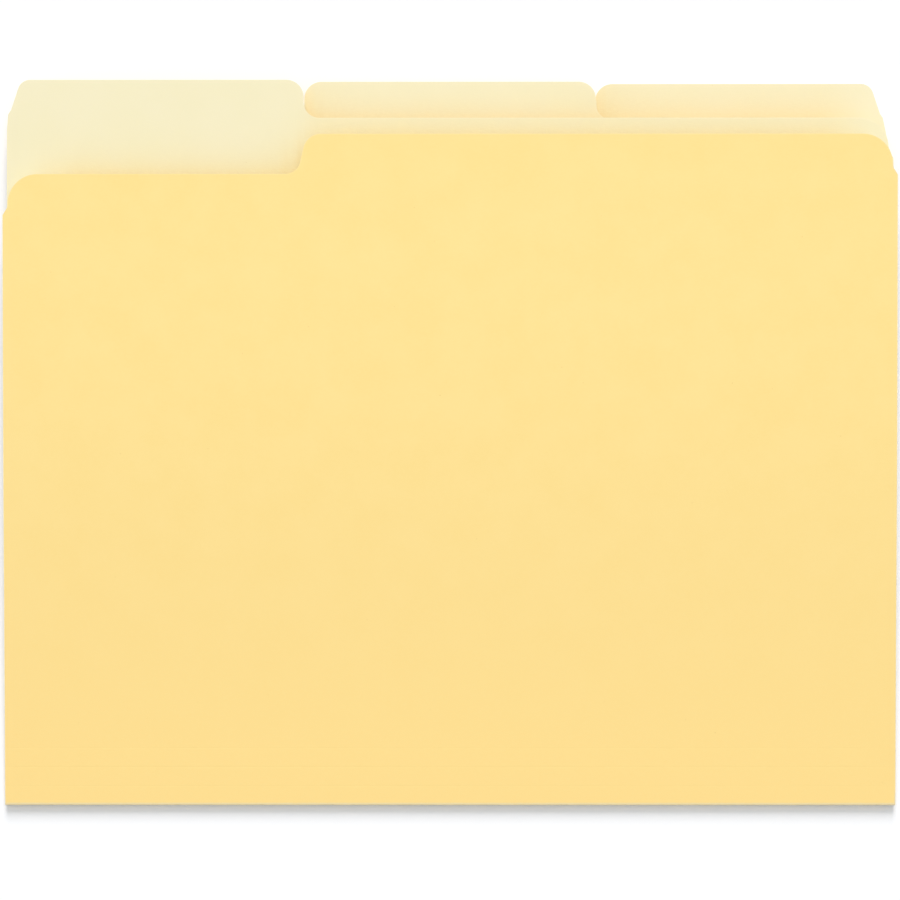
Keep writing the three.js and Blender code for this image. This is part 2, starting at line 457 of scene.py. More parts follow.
@dataclass(frozen=True)
class BoardSheet:
    """The sizes of the sheet that all three folders are cut from. Heights count from the fold."""

    width: float = 295.3
    thickness: float = 0.28
    back_height: float = 228.6
    cover_height: float = 222.25
    undercut: float = 13.2
    tab_height: float = 12.7
    centre_tab_width: float = 97.6
    tab_top_radius: float = 5.8
    tab_foot_radius: float = 5.2
    tab_outer_radius: float = 4.2
    tab_outer_lean: float = 3.3
    tab_jog_width: float = 0.95
    tab_jog_height: float = 1.4
    tab_jog_above_back: float = 1.2
    tab_jog_radius: float = 0.7
    left_shoulder_inset: float = 0.4
    left_shoulder_drop: float = 4.0
    right_shoulder_inset: float = 2.2
    right_shoulder_drop: float = 10.0
    corner_radius: float = 10.0
    corner_inset: float = 1.65
    corner_depth: float = 13.5
    corner_jog_height: float = 2.6
    corner_jog_foot_radius: float = 1.0
    corner_jog_top_radius: float = 3.0
    # The step's foot stands beside the line of the tab's side, or below zero inside that line.
    step_beside_tab: float = -1.5
    step_lean: float = 3.0
    step_top_radius: float = 6.0
    step_foot_radius: float = 4.9
    bend_radius: float = 0.2
    score_count: int = 3
    score_spacing: float = 6.35
    sheet_gap: float = 0.3
    # Handling has rubbed the dye pale in a line beside cut edges, and the fold is painted pale, partly
    # rubbed board and partly a painted highlight: the line's breadth and the strengths.
    rim: float = 0.6
    edge_rub: float = 0.5
    fold_rub_and_highlight: float = 2.0
    # Spacing of the mesh's even grid.
    grid: float = 12.0

    @property
    def outer_radius(self) -> float:
        """Radius of the fold's outside."""
        return self.bend_radius + self.thickness

    @property
    def pitch(self) -> float:
        """Distance between the fold lines of two folders that lie on each other."""
        return 2 * self.outer_radius + self.sheet_gap

    @property
    def half_bend(self) -> float:
        """Half the length of board in the fold's bend, along its middle."""
        return math.pi * (self.bend_radius + self.thickness / 2) / 2

    @property
    def scores(self) -> tuple[float, ...]:
        """Heights of the expansion scores. The cover begins at the last one."""
        return tuple(number * self.score_spacing for number in range(1, self.score_count + 1))

    @property
    def low_cover_height(self) -> float:
        """Height of a cover over its own tab."""
        return self.cover_height - self.undercut

    @property
    def tab_edges(self) -> Span:
        """Left and right side of the centre tab."""
        rest = (self.width - self.centre_tab_width) / 2
        return rest, rest + self.centre_tab_width

    def even_lines(self, start: float, end: float) -> list[float]:
        """Lists the even grid lines between two sides."""
        count = max(1, round((end - start) / self.grid))
        return [start + (end - start) * step / count for step in range(1, count)]

    def mirrored(self, corners: Sequence[Corner]) -> list[Corner]:
        """Mirrors corners about the sheet's middle and keeps them anticlockwise."""
        return [Corner(self.width - c.x, c.y, c.radius) for c in reversed(corners)]

    def right_corner_cut(self, top: float) -> list[Corner]:
        """Lists the corners of the cut at a panel's top right.

        Args:
            top: Height of the panel's top edge.

        Returns:
            The corners, anticlockwise.
        """
        inset = self.width - self.corner_inset
        foot = top - self.corner_depth
        return [
            Corner(self.width, foot, self.corner_jog_foot_radius),
            Corner(inset, foot + self.corner_jog_height, self.corner_jog_top_radius),
            Corner(inset, top, self.corner_radius),
        ]

    def right_tab_side(self, inset: float, drop: float) -> list[Corner]:
        """Lists the corners of the outer side of a tab at the right, from the shoulder up.

        Args:
            inset: How far the shoulder stands in from the panel's side.
            drop: How far below the back's top edge the shoulder begins.

        Returns:
            The corners, anticlockwise.
        """
        jog_foot = self.back_height + self.tab_jog_above_back
        shoulder = self.width - inset
        jog = shoulder - self.tab_jog_width
        top = self.back_height + self.tab_height
        return [
            Corner(self.width, self.back_height - drop),
            Corner(shoulder, jog_foot, self.tab_jog_radius),
            Corner(jog, jog_foot + self.tab_jog_height, self.tab_jog_radius),
            Corner(jog - self.tab_outer_lean, top, self.tab_outer_radius),
        ]

    def right_tab_end(self, x: float) -> list[Corner]:
        """Lists the corners of a tab's side that stands on the back's top edge, with the tab to its left."""
        top = self.back_height + self.tab_height
        return [Corner(x, self.back_height, self.tab_foot_radius), Corner(x, top, self.tab_top_radius)]

    def left_tab_end(self, x: float) -> list[Corner]:
        """Lists the corners of a tab's side with the tab to its right."""
        return self.mirrored(self.right_tab_end(self.width - x))

    def step_down(self, x: float) -> list[Corner]:
        """Lists the corners of the step in a cover's top edge that goes down to its right."""
        foot = Corner(x, self.low_cover_height, self.step_foot_radius)
        return [foot, Corner(x - self.step_lean, self.cover_height, self.step_top_radius)]

    def step_up(self, x: float) -> list[Corner]:
        """Lists the corners of the step in a cover's top edge that goes up to its right."""
        return self.mirrored(self.step_down(self.width - x))

    def back_outline(self, tab: TabPlace) -> list[Point]:
        """Draws the back panel from the fold's tangent line to its tab.

        Args:
            tab: Where the tab stands.

        Returns:
            The outline's points, anticlockwise.
        """
        left_edge, right_edge = self.tab_edges
        corner = self.right_corner_cut(self.back_height)
        left_side = self.mirrored(self.right_tab_side(self.left_shoulder_inset, self.left_shoulder_drop))
        right_side = self.right_tab_side(self.right_shoulder_inset, self.right_shoulder_drop)
        centre_tab = self.right_tab_end(right_edge) + self.left_tab_end(left_edge)
        tops = {
            TabPlace.LEFT: corner + self.right_tab_end(left_edge) + left_side,
            TabPlace.CENTRE: corner + centre_tab + self.mirrored(corner),
            TabPlace.RIGHT: right_side + self.left_tab_end(right_edge) + self.mirrored(corner),
        }
        return self._outline_from(self.outer_radius, tops[tab])

    def cover_outline(self, tab: TabPlace) -> list[Point]:
        """Draws the cover from the last score to its top edge, which is cut lower over the tab.

        Args:
            tab: Where the tab stands.

        Returns:
            The outline's points, anticlockwise.
        """
        left_edge, right_edge = self.tab_edges
        beside = self.step_beside_tab
        corner = self.right_corner_cut(self.cover_height)
        low_corner = self.right_corner_cut(self.low_cover_height)
        over_centre_tab = self.step_up(right_edge + beside) + self.step_down(left_edge - beside)
        tops = {
            TabPlace.LEFT: corner + self.step_up(left_edge + beside) + self.mirrored(low_corner),
            TabPlace.CENTRE: corner + over_centre_tab + self.mirrored(corner),
            TabPlace.RIGHT: low_corner + self.step_down(right_edge - beside) + self.mirrored(corner),
        }
        return self._outline_from(self.scores[-1], tops[tab])

    def _outline_from(self, foot: float, top: Sequence[Corner]) -> list[Point]:
        """Draws a panel from its straight lower end, at the foot's height, to the corners of its top."""
        return rounded_outline([Corner(0, foot), Corner(self.width, foot), *top])

    def strip_outline(self, number: int) -> list[Point]:
        """Draws the strip that ends at the score of the given number, counted from the fold."""
        start, end = (self.outer_radius, *self.scores)[number - 1:number + 1]
        return [(0, start), (self.width, start), (self.width, end), (0, end)]


@dataclass(frozen=True)
class PaintedShadeSpread:
    """How far and how deeply painted shade darkens and warms the face beside and under a sheet's edge."""

    reach: float
    reach_across: float
    # An upright edge of the sheet paints less shade beside it than a level one.
    upright_share: float
    # Cover by the sheet from which the painted shade is deepest. It is 0.5 at a straight edge of the sheet.
    deepest_cover: float
    reach_under: float = 2.0
    curve: float = 1.5
    # The sheet's rounded corners lift a little, so the painted shade fades towards them.
    fade_start: float = 5.0
    fade_end: float = 16.0
    # The cover is averaged across the width, over this many samples and reaches. Near ones count most.
    samples: int = 17
    sampled_reaches: float = 3.0


@dataclass(frozen=True)
class SheetAbove:
    """The sheet that lies on a back. Painted shade darkens and warms the back beside and under its edge."""

    left: float
    right: float
    # Each part of its top edge: where the part begins, from the left, and its height.
    parts: tuple[Point, ...]
    corner_radius: float
    shade_spread: PaintedShadeSpread
    # Distances from the sheet's edge of extra grid lines, where the painted shade changes fast.
    lines: tuple[float, ...] = (-5.0, -2.5, -1.0, 0.0, 0.8, 1.7, 2.8, 4.2, 6.0, 8.5)

    def grid_lines(self) -> tuple[list[float], list[float]]:
        """Lists the extra grid lines on both sides of the sheet's edge.

        Returns:
            Places across the width, and heights.
        """
        starts, heights = zip(*self.parts)
        across = [start + side * line for start in starts[1:] for line in self.lines for side in (-1, 1)]
        across += [self.left + abs(line) for line in self.lines]
        across += [self.right - abs(line) for line in self.lines]
        return across, [height + line for height in set(heights) for line in self.lines]

    def top_at(self, x: float) -> float:
        """Finds how high the sheet reaches.

        Args:
            x: Place across the width.

        Returns:
            The height of its edge, or minus infinity beside the sheet.
        """
        if not self.left < x < self.right:
            return -math.inf
        top = [height for start, height in self.parts if start <= x][-1]
        short = self.corner_radius - min(x - self.left, self.right - x, self.corner_radius)
        return top - self.corner_radius + math.sqrt(self.corner_radius ** 2 - short ** 2)

    def painted_shade_at(self, x: float, y: float) -> float:
        """Finds how deep the painted shade is at a place.

        Args:
            x: Place across the width.
            y: Height from the fold.

        Returns:
            A share from 0 to 1.
        """
        shade_spread = self.shade_spread
        own = self._cover_at(x, y)
        steps = [2 * step / (shade_spread.samples - 1) - 1 for step in range(shade_spread.samples)]
        offsets = [shade_spread.sampled_reaches * shade_spread.reach_across * step for step in steps]
        weights = [math.exp(-abs(offset) / shade_spread.reach_across) for offset in offsets]
        total = sum(weight * self._cover_at(x + off, y) for weight, off in zip(weights, offsets))
        cover = own + shade_spread.upright_share * (total / sum(weights) - own)
        deep = min(1.0, (cover / shade_spread.deepest_cover) ** shade_spread.curve)
        into = min(x - self.left, self.right - x)
        kept = (into - shade_spread.fade_start) / (shade_spread.fade_end - shade_spread.fade_start)
        under = max(0.0, self.top_at(x) - y)
        return deep * min(1.0, max(0.0, kept)) * math.exp(-under / shade_spread.reach_under)

    def _cover_at(self, x: float, y: float) -> float:
        """Finds how much of a place's surroundings the sheet covers, straight up and down.

        Args:
            x: Place across the width.
            y: Height from the fold.

        Returns:
            A share from 0 to 1, and 0.5 on the sheet's edge.
        """
        beyond = y - self.top_at(x)
        near = 0.5 * math.exp(-abs(beyond) / self.shade_spread.reach)
        return near if beyond > 0 else 1 - near


@dataclass(frozen=True)
class Leaf:
    """One side of a folded sheet, which leaves the fold at an angle from the table, in degrees."""

    sheet: BoardSheet
    side: Side
    # Centre line of the fold's bend.
    fold: Vector
    degrees: float
    pattern_shift: Point
    # How far the middle of the cover stands proud of flat.
    bow: float = 0.0

    @property
    def levels(self) -> Span:
        """Lower and upper face of the board, counted up from the centre line of the bend."""
        near, far = self.sheet.bend_radius, self.sheet.outer_radius
        return (near, far) if self.side is Side.COVER else (-far, -near)

    @property
    def faces(self) -> tuple[Face, Face]:
        """Finishes of the lower and the upper face."""
        return (Face.INSIDE, Face.OUTSIDE) if self.side is Side.COVER else (Face.OUTSIDE, Face.INSIDE)

    def place(self, x: float, y: float, level: float) -> Vector:
        """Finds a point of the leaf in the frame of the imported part.

        Args:
            x: Place across the width.
            y: Height from the fold.
            level: How far above the centre line of the bend.

        Returns:
            The point, in millimetres.
        """
        sheet = self.sheet
        angle = math.radians(self.degrees)
        along = Vector((0, math.cos(angle), math.sin(angle)))
        up = Vector((0, -math.sin(angle), math.cos(angle)))
        rise = y - sheet.outer_radius
        cover_start = sheet.scores[-1]
        share = min(1.0, max(0.0, (rise - cover_start) / (sheet.cover_height - cover_start)))
        bowed = level + self.bow * math.sin(math.pi * share) ** 2
        return self.fold + Vector((x - sheet.width / 2, 0, 0)) + along * rise + up * bowed

    def on_sheet(self, x: float, y: float) -> Point:
        """Finds a place of the leaf on the unfolded sheet, in the board's pattern."""
        shift_x, shift_y = self.pattern_shift
        return x + shift_x, self.side.value * (y - self.sheet.outer_radius + self.sheet.half_bend) + shift_y


@dataclass
class Shape:
    """A closed shape of board. Its points are in metres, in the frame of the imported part."""

    points: list[Vector]
    # Corners and finish of each face.
    faces: BoardFaces
    # Of each point: its place on the unfolded sheet, and by name of the layer how strongly it is marked.
    mapped: list[Point]
    marks: dict[str, Sequence[float]]

    def mesh(self, name: str, materials: Sequence[Material], sharp: float = 28.0) -> bpy.types.Mesh:
        """Makes a mesh that is mapped in millimetres and shaded smooth.

        Args:
            name: Name of the new mesh.
            materials: The three board finishes, in the order of Face.
            sharp: Edges that turn by more than this angle, in degrees, are shaded sharp.

        Returns:
            The finished mesh.
        """
        mesh = bpy.data.meshes.new(name)
        mesh.from_pydata(self.points, [], [corners for corners, _ in self.faces])
        sheet_map = mesh.uv_layers.new(name=SHEET_MAP)
        for loop in mesh.loops:
            sheet_map.data[loop.index].uv = self.mapped[loop.vertex_index]
        for layer, strengths in self.marks.items():
            mesh.attributes.new(layer, "FLOAT", "POINT").data.foreach_set("value", strengths)
        for material in materials:
            mesh.materials.append(material)
        for polygon, (_, finish) in zip(mesh.polygons, self.faces):
            polygon.material_index = finish.value
            polygon.use_smooth = True
        mesh.set_sharp_from_angle(angle=math.radians(sharp))
        mesh.update()
        return mesh


@dataclass
class Panel:
    """A flat piece of the sheet, with its die-cut edges, its pressed scores and its joined ends."""

    outline: list[Point]
    leaf: Leaf
    # Heights of the ends that carry on into another piece. They are round, to turn against it.
    joined: tuple[float, ...]
    above: SheetAbove | None = None
    scores: tuple[float, ...] = ()
    # The end that is bent round the fold.
    folded_end: float | None = None
    # How far from the fold the painted shade on a cover and its strips reaches.
    fold_shade_reach: float = 130.0
    score_reach: float = 0.65
    score_depth: float = 0.007
    # Shares of a score's reach at which its groove has grid lines.
    score_lines: tuple[float, ...] = (0.25, 0.5, 1.0)
    cap_steps: int = 4

    def shape(self) -> Shape:
        """Cuts the panel out, closes its edges and marks its wear, painted shade and painted highlight.

        Returns:
            The panel's shape.
        """
        flat = self._flat_mesh()
        points = [(v.co.x, v.co.y) for v in flat.verts]
        polygons = [[v.index for v in f.verts] for f in flat.faces]
        rims = [(e.verts[0].index, e.verts[1].index) for e in flat.edges if e.is_boundary]
        flat.free()
        low, high = self.leaf.levels
        lower, upper = self.leaf.faces
        spots = [(x, y, level - self._groove(y)) for level in (high, low) for x, y in points]
        faces = [(polygon, upper) for polygon in polygons]
        faces += [([i + len(points) for i in reversed(polygon)], lower) for polygon in polygons]
        faces += self._rim_faces(points, rims, spots)
        middle = (low + high) / 2
        mapped = []
        for x, y, level in spots:
            # The map carries on across a cut edge, so the pattern isn't drawn out there.
            mapped.append(tuple(value + level - middle for value in self.leaf.on_sheet(x, y)))
        wear_and_painted_light = {(x, y): (self._rubbed_and_highlight(x, y), self._painted_shade(x, y)) for x, y in {spot[:2] for spot in spots}}
        rubbed_and_highlight, painted_shade_share = zip(*(wear_and_painted_light[spot[:2]] for spot in spots))
        placed = [self.leaf.place(*spot) * METRES for spot in spots]
        return Shape(placed, faces, mapped, {RUB_AND_HIGHLIGHT: rubbed_and_highlight, PAINTED_SHADE_LAYER: painted_shade_share})

    def _flat_mesh(self) -> bmesh.types.BMesh:
        """Cuts the outline into a grid, with extra lines along the rim, each score and the painted shade.

        Returns:
            A flat mesh in millimetres.
        """
        flat = bmesh.new()
        face = flat.faces.new([flat.verts.new((x, y, 0)) for x, y in self.outline])
        flat.normal_update()
        sheet = self.leaf.sheet
        rim = sheet.rim
        bmesh.ops.inset_region(flat, faces=[face], thickness=rim, use_boundary=True, use_even_offset=True)
        xs, ys = zip(*self.outline)
        across = [min(xs) + rim, *sheet.even_lines(min(xs), max(xs)), max(xs) - rim]
        up = sheet.even_lines(min(ys), max(ys))
        for score in self.scores:
            up += [score + side * share * self.score_reach for side in (-1, 1) for share in self.score_lines]
        if self.above:
            tone_across, tone_up = self.above.grid_lines()
            across += tone_across
            up += tone_up
        for lines, ends, normal in ((across, xs, Vector((1, 0, 0))), (up, ys, Vector((0, 1, 0)))):
            for line in lines:
                if min(ends) < line < max(ends):
                    whole = [*flat.verts, *flat.edges, *flat.faces]
                    bmesh.ops.bisect_plane(
                        flat, geom=whole, dist=ON_THE_CUT, plane_co=normal * line, plane_no=normal
                    )
        flat.verts.index_update()
        return flat

    def _is_joined(self, first: Point, second: Point) -> bool:
        """Tells whether an edge of the outline lies on a joined end."""
        return any(max(abs(first[1] - y), abs(second[1] - y)) < SAME_PLACE for y in self.joined)

    def _rim_faces(self, points: list[Point], rims: list[tuple[int, int]], spots: list[Place]) -> BoardFaces:
        """Closes the panel between its upper and its lower points, with round joined ends.

        Args:
            points: Places of the upper points, which the lower ones repeat.
            rims: The two upper points of each edge on the outline.
            spots: The panel's points, which take those of the round ends.

        Returns:
            Corners and finish of each face.
        """
        columns = {index: [index, index + len(points)] for rim in rims for index in rim}
        joined = {rim for rim in rims if self._is_joined(*(points[index] for index in rim))}
        for index in sorted({index for rim in joined for index in rim}):
            cap = self._cap(*points[index])
            columns[index][1:1] = range(len(spots), len(spots) + len(cap))
            spots += cap
        faces: BoardFaces = []
        for rim in rims:
            first, second = (columns[index] for index in rim)
            if rim in joined:
                for step in range(self.cap_steps):
                    corners = [second[step], first[step], first[step + 1], second[step + 1]]
                    faces.append((corners, Face.CUT_EDGE))
            else:
                faces.append(([*first, *reversed(second)], Face.CUT_EDGE))
        return faces

    def _cap(self, x: float, y: float) -> list[Place]:
        """Rounds a joined end between its upper and its lower edge.

        Args:
            x: Place across the width.
            y: Height from the fold.

        Returns:
            The points between the two edges, from the upper edge down.
        """
        low, high = self.leaf.levels
        outward = -1 if abs(y - min(v for _, v in self.outline)) < SAME_PLACE else 1
        radius = (high - low) / 2
        reach = outward * radius
        middle = (high + low) / 2 - self._groove(y)
        turns = [math.pi * step / self.cap_steps for step in range(1, self.cap_steps)]
        return [(x, y + reach * math.sin(turn), middle + radius * math.cos(turn)) for turn in turns]

    def _groove(self, y: float) -> float:
        """Finds how deep the board is pressed down at a height, which is 0 beside the scores."""
        nears = [max(0.0, 1 - abs(y - score) / self.score_reach) for score in self.scores]
        return max((self.score_depth * near * near * (3 - 2 * near) for near in nears), default=0.0)

    def _rubbed_and_highlight(self, x: float, y: float) -> float:
        """Finds how much a place is rubbed at cut edges, and how pale the fold is painted: partly rubbed
        board, partly a painted highlight.

        Args:
            x: Place across the width.
            y: Height from the fold.

        Returns:
            A strength from 0, which is broken up by the fibres.
        """
        sheet = self.leaf.sheet
        nearest = sheet.rim
        for (ax, ay), (bx, by) in zip(self.outline, [*self.outline[1:], self.outline[0]]):
            if self._is_joined((ax, ay), (bx, by)):
                continue
            span_x, span_y = bx - ax, by - ay
            along = ((x - ax) * span_x + (y - ay) * span_y) / (span_x ** 2 + span_y ** 2)
            along = min(1.0, max(0.0, along))
            nearest = min(nearest, math.hypot(x - ax - along * span_x, y - ay - along * span_y))
        rubbed_and_highlight = sheet.edge_rub * (1 - nearest / sheet.rim)
        if self.folded_end is not None:
            rubbed_and_highlight = max(rubbed_and_highlight, sheet.fold_rub_and_highlight * (1 - abs(y - self.folded_end) / sheet.rim))
        return rubbed_and_highlight

    def _painted_shade(self, x: float, y: float) -> float:
        """Finds how deep the painted shade is at a place: beside the sheet above, or on a cover towards the
        fold.

        Args:
            x: Place across the width.
            y: Height from the fold.

        Returns:
            A share from 0 to 1, the same for both faces of the board.
        """
        if self.above:
            return self.above.painted_shade_at(x, y)
        # Painted shade on a cover and its strips, deepest at the fold.
        if self.leaf.side is Side.COVER:
            return max(0.0, 1 - y / self.fold_shade_reach)
        return 0.0


@dataclass
class Bend:
    """A part of the fold's bend, between two angles in degrees round its centre line."""

    sheet: BoardSheet
    fold: Vector
    # Angles half way round the whole bend, and at the two ends of this part.
    half_way: float
    start: float
    end: float
    pattern_shift: Point
    steps: int = 12

    def shape(self) -> Shape:
        """Bends the board round the centre line.

        Returns:
            The shape of this part of the bend.
        """
        sheet = self.sheet
        left, right = sheet.rim, sheet.width - sheet.rim
        across = [0.0, left, *sheet.even_lines(left, right), right, sheet.width]
        shift_x, shift_y = self.pattern_shift
        points: list[Vector] = []
        mapped: list[Point] = []
        for step in range(self.steps + 1):
            angle = self.start + (self.end - self.start) * step / self.steps
            turned = math.radians(angle)
            along = (self.half_way - angle) / QUARTER_TURN * sheet.half_bend
            for radius in (sheet.outer_radius, sheet.bend_radius):
                y = self.fold.y + radius * math.cos(turned)
                z = self.fold.z + radius * math.sin(turned)
                points += [Vector((x - sheet.width / 2, y, z)) * METRES for x in across]
                mapped += [(x + shift_x, along + shift_y) for x in across]
        # The whole bend is painted pale: partly rubbed board, partly a painted highlight.
        return Shape(points, self._faces(len(across)), mapped, {RUB_AND_HIGHLIGHT: [sheet.fold_rub_and_highlight] * len(points)})

    def _faces(self, row: int) -> BoardFaces:
        """Joins rows of points into a closed shape.

        Args:
            row: How many points lie in a row across the width.

        Returns:
            Corners and finish of each face.
        """
        # First point of each row, in order along the outside and back along the inside.
        outer = [2 * row * step for step in range(self.steps + 1)]
        round_board = [*outer, *(first + row for first in reversed(outer))]
        finishes: list[Face] = []
        for side in (Face.OUTSIDE, Face.INSIDE):
            finishes += [side] * self.steps + [Face.CUT_EDGE]
        faces: BoardFaces = []
        for near, far, finish in zip(round_board, [*round_board[1:], 0], finishes):
            faces += [([near + i, near + i + 1, far + i + 1, far + i], finish) for i in range(row - 1)]
        for first in outer[:-1]:
            left = [first + row * rows for rows in (2, 3, 1, 0)]
            right = [corner + row - 1 for corner in reversed(left)]
            faces += [(left, Face.CUT_EDGE), (right, Face.CUT_EDGE)]
        return faces


def add_object(name: str, data: bpy.types.ID) -> bpy.types.Object:
    """Puts a mesh, a light or a camera into the scene.

    Args:
        name: Name of the new object.
        data: The mesh, light or camera.

    Returns:
        The new object.
    """
    added = bpy.data.objects.new(name, data)
    bpy.context.scene.collection.objects.link(added)
    return added


# A folder


@dataclass
class Folder:
    """One folder: a sheet that is bent once at the fold and scored beside it. Angles are in degrees."""

    name: str
    tab: TabPlace
    # Angle of the back from the table, and of the cover from the back.
    tilt: float
    gape: float
    # Centre line of the fold's bend.
    fold: Vector
    # The bend's part beside the back.
    lower_bend: float
    cover_bow: float
    # How the painted shade spreads beside the sheet above.
    shade_spread: PaintedShadeSpread
    pattern_shift: Point
    materials: list[Material]
    sheet: BoardSheet
    pieces: list[bpy.types.Object] = field(default_factory=list)

    def build(self) -> None:
        """Builds and dresses every piece of the folder."""
        self._build_back()
        self._build_bend()
        self._build_strips()
        self._build_cover()
        for piece in self.pieces:
            LOG.info("%s: %d faces", piece.name, len(piece.data.polygons))

    def _add(self, part: str, shape: Shape, body: str = "") -> bpy.types.Object:
        """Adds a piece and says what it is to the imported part.

        Args:
            part: Name of the piece within the folder.
            shape: The piece's shape.
            body: Name of the rigid body that it moves with, within the folder. Its node has that name too.

        Returns:
            The piece.
        """
        piece = add_object(f"{self.name}_{part}", shape.mesh(part, self.materials))
        if body:
            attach(piece, f"{self.name}_{body}")
            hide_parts(f"{self.name}_{body}")
        self.pieces.append(piece)
        return piece

    def _build_back(self) -> None:
        """Builds the back panel with its tab."""
        back = Panel(
            outline=self.sheet.back_outline(self.tab),
            leaf=Leaf(self.sheet, Side.BACK, self.fold, self.tilt, self.pattern_shift),
            joined=(self.sheet.outer_radius,),
            above=self._sheet_above(),
        )
        self._add(f"back_with_{self.tab.value}_tab", back.shape(), "back")

    def _sheet_above(self) -> SheetAbove:
        """Finds the sheet whose edge shows on the back.

        Returns:
            The next folder's back, or on the top folder its own cover.
        """
        sheet = self.sheet
        low, high = sheet.back_height, sheet.back_height + sheet.tab_height
        left_edge, right_edge = sheet.tab_edges
        step = left_edge + sheet.step_beside_tab + sheet.step_lean / 2
        parts = {
            TabPlace.RIGHT: ((0.0, low), (left_edge, high), (right_edge, low)),
            TabPlace.CENTRE: ((0.0, high), (left_edge, low)),
            TabPlace.LEFT: ((0.0, sheet.low_cover_height), (step, sheet.cover_height)),
        }
        inset = sheet.corner_inset
        return SheetAbove(inset, sheet.width - inset, parts[self.tab], sheet.corner_radius, self.shade_spread)

    def _build_bend(self) -> None:
        """Builds the bend in two parts: the one beside the back spans the lower bend, the other reaches the
        cover.
        """
        back_end = BEND_AT_BACK + self.tilt
        cover_end = BEND_AT_COVER + self.tilt + self.gape
        split = back_end - self.lower_bend
        half_way = BEND_HALF_WAY + self.tilt
        bodies = [f"{self.name}_{part}" for part in ("back", "crease", "strip_1")]
        parts = (
            ("fold_beside_back", back_end, split, bodies[0], bodies[1]),
            ("fold_beside_cover", split, cover_end, bodies[1], bodies[2]),
        )
        for part, start, end, first, second in parts:
            bend = Bend(self.sheet, self.fold, half_way, start, end, self.pattern_shift)
            piece = self._add(part, bend.shape())
            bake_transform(piece)
            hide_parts(f"{self.name}_crease")

    def _cover_leaf(self, bow: float = 0.0) -> Leaf:
        """Finds where the cover's side lies, with its middle standing proud by the bow."""
        degrees = self.tilt + self.gape
        return Leaf(self.sheet, Side.COVER, self.fold, degrees, self.pattern_shift, bow)

    def _build_strips(self) -> None:
        """Builds the strips between the fold and the scores."""
        for number in range(1, self.sheet.score_count + 1):
            outline = self.sheet.strip_outline(number)
            strip = Panel(
                outline=outline,
                leaf=self._cover_leaf(),
                joined=(outline[0][1], outline[2][1]),
                scores=self.sheet.scores,
                folded_end=outline[0][1] if number == 1 else None,
            )
            self._add(f"score_strip_{number}", strip.shape(), f"strip_{number}")

    def _build_cover(self) -> None:
        """Builds the cover."""
        cover = Panel(
            outline=self.sheet.cover_outline(self.tab),
            leaf=self._cover_leaf(self.cover_bow),
            joined=self.sheet.scores[-1:],
            scores=self.sheet.scores,
        )
        self._add("undercut_cover", cover.shape(), "cover")


@dataclass
class Pile:
    """Three folders on each other, with tabs at the right, centre and left from the rear one up."""

    names: tuple[str, str, str] = ("rear_folder", "middle_folder", "front_folder")
    tabs: tuple[TabPlace, TabPlace, TabPlace] = (TabPlace.RIGHT, TabPlace.CENTRE, TabPlace.LEFT)
    # In degrees: how far each cover gapes, and the bend's part beside the back.
    gapes: tuple[float, float, float] = (0.9, 0.85, 2.5)
    lower_bends: tuple[float, float, float] = (88.0, 88.0, 118.0)
    cover_bows: tuple[float, float, float] = (0.0, 0.0, 0.9)
    # On the folders below, the painted shade reaches further from the next sheet's edge.
    shade_spreads: tuple[PaintedShadeSpread, PaintedShadeSpread, PaintedShadeSpread] = (
        PaintedShadeSpread(reach=12.0, reach_across=9.0, upright_share=0.8, deepest_cover=0.75),
        PaintedShadeSpread(reach=9.0, reach_across=9.0, upright_share=0.6, deepest_cover=0.79),
        PaintedShadeSpread(reach=7.0, reach_across=5.5, upright_share=1.0, deepest_cover=0.668),
    )
    # How far apart in the board the folders were cut, so that no two show the same fibres.
    pattern_step: Point = (400.0, 130.0)
    sheet: BoardSheet = BoardSheet()
    finishes: Finishes = Finishes()

    def build(self) -> None:
        """Builds the folders from the table up."""
        sheet = self.sheet
        materials = self.finishes.make()
        fold = Vector((0, sheet.outer_radius - sheet.back_height / 2, sheet.outer_radius))
        tilt = 0.0
        for order, name in enumerate(self.names):
            folder = Folder(
                name=name,
                tab=self.tabs[order],
                tilt=tilt,
                gape=self.gapes[order],
                fold=fold,
                lower_bend=self.lower_bends[order],
                cover_bow=self.cover_bows[order],
                shade_spread=self.shade_spreads[order],
                pattern_shift=(self.pattern_step[0] * order, self.pattern_step[1] * order),
                materials=materials,
                sheet=sheet,
            )
            folder.build()
            tilt += self.gapes[order]
            angle = math.radians(tilt)
            fold = fold + Vector((0, -math.sin(angle), math.cos(angle))) * sheet.pitch


# The studio


def seen_by_camera(tree: Tree) -> Node:
    """Gives 1 for camera, glossy and transmission rays, and 0 for the rays that light the object.

    Args:
        tree: The node tree of a material or the world.

    Returns:
        The node with that number.
    """
    rays = add_node(tree, "LightPath")
    seen = rays
    for kind in ("Is Glossy Ray", "Is Transmission Ray"):
        seen = add_node(tree, "Math", {"operation": "MAXIMUM"}, links={0: seen, 1: rays.outputs[kind]})
    return seen


